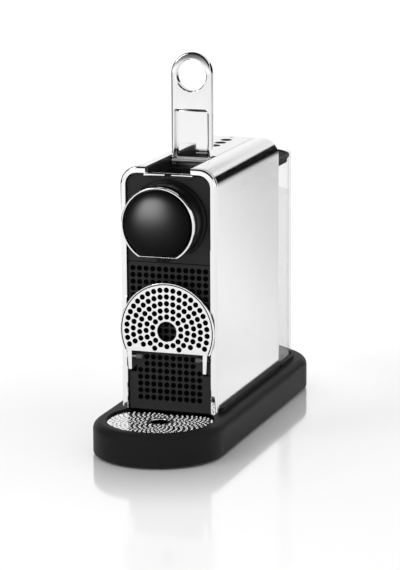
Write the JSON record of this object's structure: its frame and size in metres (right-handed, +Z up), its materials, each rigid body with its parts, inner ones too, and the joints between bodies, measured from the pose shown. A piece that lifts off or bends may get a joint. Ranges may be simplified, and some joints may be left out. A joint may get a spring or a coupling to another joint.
{
  "type": "pod coffee machine",
  "caption": "Slim pod coffee machine: steel-clad body on a rounded base, raised ring lever, round coffee head, fold-down cup support, slide-out drip unit and clear rear tank.",
  "frame": {"origin": "middle of the base on the surface it stands on", "axes": "+X to the right seen from the front, the front faces -Y, +Z up"},
  "size_m": [0.13, 0.405, 0.379],
  "materials": {
    "chrome": "mirror polished",
    "polished_steel": "polished",
    "bracket_steel": "satin",
    "charcoal_plastic": "satin",
    "matte_black_plastic": "matte",
    "gloss_black": "high gloss",
    "grey_plastic": "matte",
    "top_strip": "satin",
    "rubber": "matte",
    "silicone": "matte",
    "clear_plastic": "clear",
    "aluminium": "cast",
    "winding": "wound wire",
    "circuit_board": "satin"
  },
  "bodies": {
    "housing": {"front_frame": "chrome", "head_ring": "chrome", "side_panel_left": "polished_steel", "side_panel_right": "polished_steel", "base_screw_1": "bracket_steel", "base_screw_2": "bracket_steel", "base_screw_3": "bracket_steel", "base_screw_4": "bracket_steel", "chassis": "bracket_steel", "anchor_pin": "bracket_steel", "upper_front_panel": "charcoal_plastic", "base_shell": "matte_black_plastic", "base_bottom_plate": "matte_black_plastic", "lever_latch": "matte_black_plastic", "lever_recess": "matte_black_plastic", "pod_chute": "matte_black_plastic", "head_housing": "matte_black_plastic", "outlet_spout": "matte_black_plastic", "head_dome": "gloss_black", "status_lamp": "gloss_black", "rear_cover": "grey_plastic", "pump_body": "grey_plastic", "flow_meter": "grey_plastic", "piston_guide": "grey_plastic", "top_lid": "top_strip", "foot_1": "rubber", "foot_2": "rubber", "foot_3": "rubber", "foot_4": "rubber", "cord_gland": "rubber", "tank_valve_seat": "silicone", "water_hose": "silicone", "brew_hose": "silicone", "brew_head": "aluminium", "thermoblock": "aluminium", "pump_coil": "winding", "button_board": "circuit_board", "control_board": "circuit_board"},
    "lever": {"lever_handle": "chrome", "lever_pin": "bracket_steel"},
    "piston": {"brew_piston": "aluminium", "piston_pin": "bracket_steel", "capsule_seal": "silicone"},
    "toggle_rear": {"toggle_rear_link": "bracket_steel"},
    "toggle_front": {"toggle_front_link": "bracket_steel"},
    "drip_unit": {"drip_tray": "matte_black_plastic", "capsule_bin": "matte_black_plastic", "lower_front_panel": "charcoal_plastic", "pivot_bracket_left": "grey_plastic", "pivot_bracket_right": "grey_plastic"},
    "drip_grid": {"drip_grid": "polished_steel"},
    "cup_support": {"cup_support": "chrome", "support_pin_left": "bracket_steel", "support_pin_right": "bracket_steel"},
    "tank": {"water_tank": "clear_plastic", "tank_valve": "grey_plastic"},
    "tank_lid": {"tank_lid": "charcoal_plastic"},
    "button_1": {"button_1": "charcoal_plastic"},
    "button_2": {"button_2": "charcoal_plastic"},
    "button_3": {"button_3": "charcoal_plastic"}
  },
  "joints": [
    {"name": "lever_hinge", "type": "hinge", "parent": "housing", "child": "lever", "pos_m": [0, -0.0369, 0.2715], "axis": [1, 0, 0], "range_deg": [0, 90]},
    {"name": "piston_slide", "type": "slide", "parent": "housing", "child": "piston", "axis": [0, -1, 0], "range_m": [0, 0.0241]},
    {"name": "toggle_rear_hinge", "type": "hinge", "parent": "housing", "child": "toggle_rear", "pos_m": [0, 0.024, 0.225], "axis": [1, 0, 0], "range_deg": [0, 60.5]},
    {"name": "toggle_front_hinge", "type": "hinge", "parent": "piston", "child": "toggle_front", "pos_m": [0, 0, 0.225], "axis": [1, 0, 0], "range_deg": [-60.5, 0]},
    {"name": "drip_unit_slide", "type": "slide", "parent": "housing", "child": "drip_unit", "axis": [0, -1, 0], "range_m": [0, 0.1]},
    {"name": "drip_grid_lift", "type": "slide", "parent": "drip_unit", "child": "drip_grid", "axis": [0, 0, 1], "range_m": [0, 0.025]},
    {"name": "cup_support_hinge", "type": "hinge", "parent": "drip_unit", "child": "cup_support", "pos_m": [0, -0.109, 0.0877], "axis": [1, 0, 0], "range_deg": [0, 90]},
    {"name": "tank_lift", "type": "slide", "parent": "housing", "child": "tank", "axis": [0, 0, 1], "range_m": [0, 0.04]},
    {"name": "tank_lid_lift", "type": "slide", "parent": "tank", "child": "tank_lid", "axis": [0, 0, 1], "range_m": [0, 0.02]},
    {"name": "button_1_press", "type": "slide", "parent": "housing", "child": "button_1", "axis": [0, 0, -1], "range_m": [0, 0.001], "stiffness_N_per_m": 400},
    {"name": "button_2_press", "type": "slide", "parent": "housing", "child": "button_2", "axis": [0, 0, -1], "range_m": [0, 0.001], "stiffness_N_per_m": 400},
    {"name": "button_3_press", "type": "slide", "parent": "housing", "child": "button_3", "axis": [0, 0, -1], "range_m": [0, 0.001], "stiffness_N_per_m": 400}
  ],
  "couplings": [
    {"joint": "piston_slide", "follows": "lever_hinge", "m_per_rad": 0.015279},
    {"joint": "toggle_rear_hinge", "follows": "lever_hinge", "ratio": 0.66667},
    {"joint": "toggle_front_hinge", "follows": "lever_hinge", "ratio": -0.66667}
  ]
}
